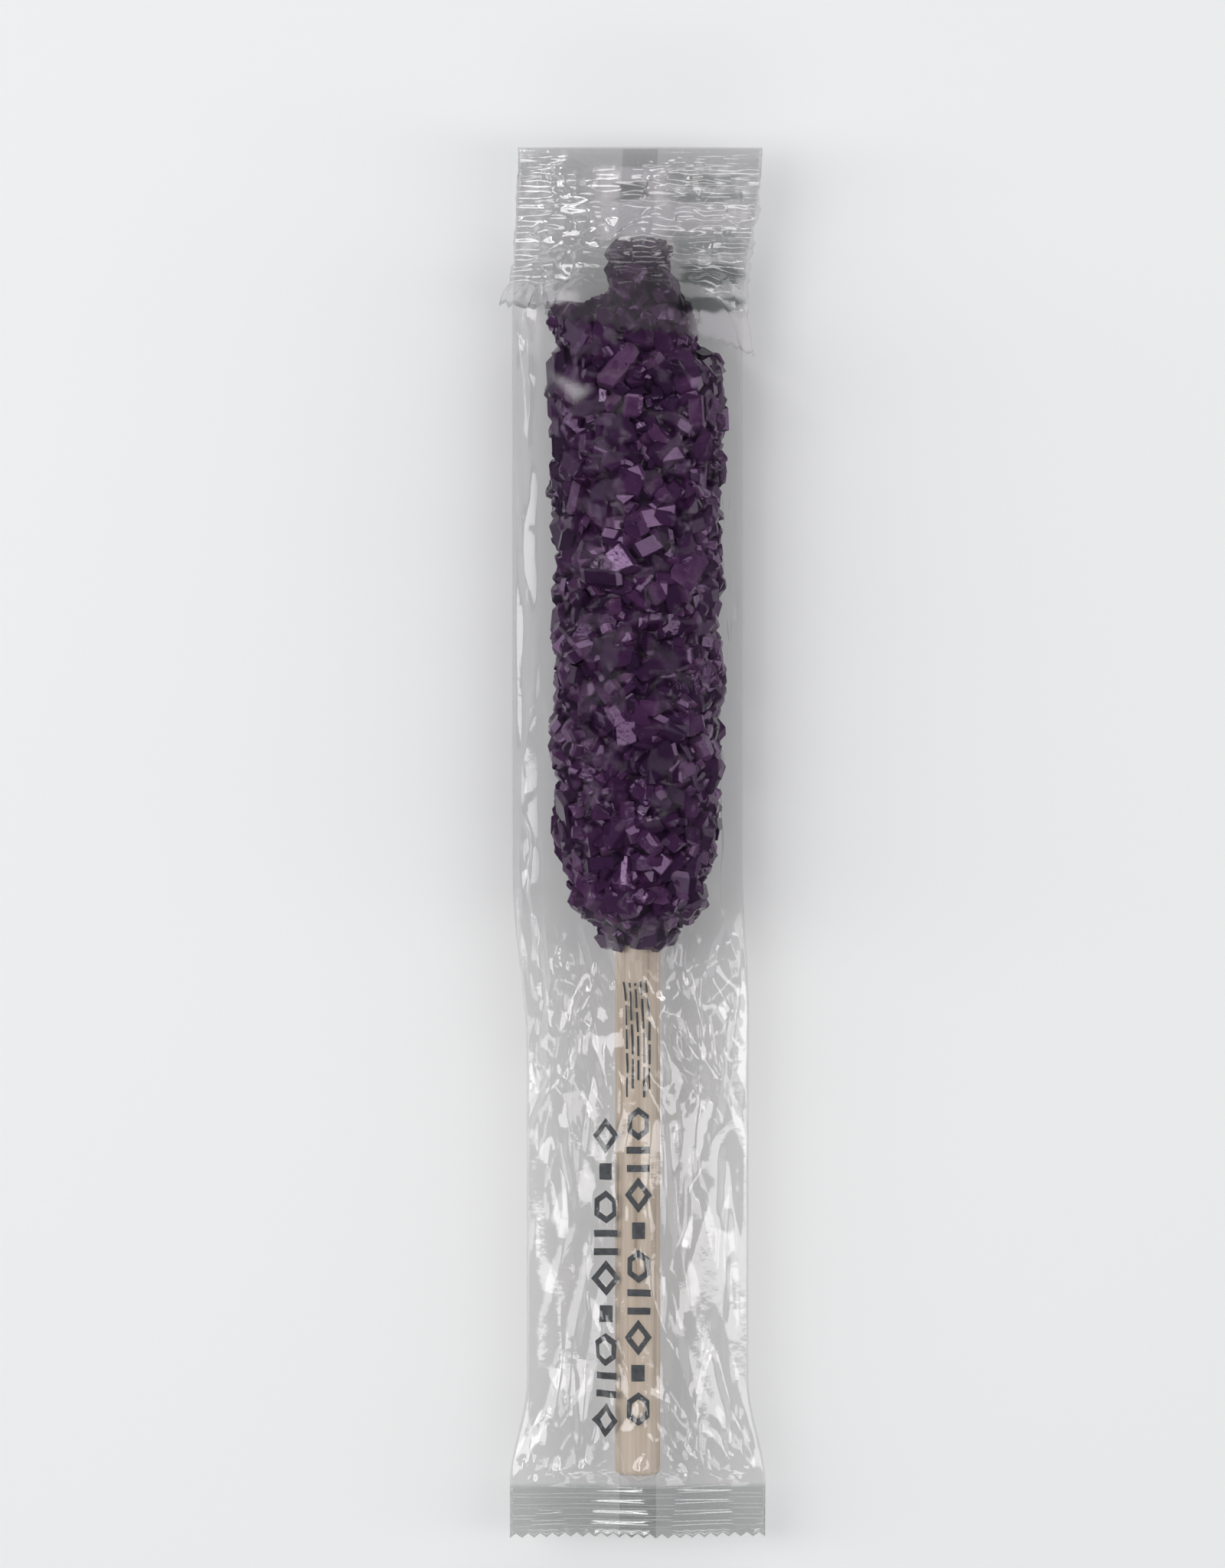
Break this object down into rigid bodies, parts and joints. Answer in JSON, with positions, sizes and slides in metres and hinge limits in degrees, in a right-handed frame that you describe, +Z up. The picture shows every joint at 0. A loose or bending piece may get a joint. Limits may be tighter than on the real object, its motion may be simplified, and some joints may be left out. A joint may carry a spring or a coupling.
{
  "type": "rock candy stick",
  "caption": "Stick of deep purple sugar crystals grown on a wooden stick, sealed in a clear film sleeve, lying down.",
  "frame": {"origin": "centre of the sleeve's outline, on the table it lies on", "axes": "+Y along the stick towards the candy end, +X across the sleeve, +Z up, out of the printed front"},
  "size_m": [0.033, 0.179, 0.0218],
  "materials": {
    "film": "thin clear wrapping film, glossy, crinkled",
    "candy": "deep purple sugar crystals, glossy and slightly translucent",
    "stick": "plain light birch, sanded",
    "print": "dark grey ink on the film"
  },
  "bodies": {
    "root": {"wrapped_stick": "film"}
  },
  "joints": []
}
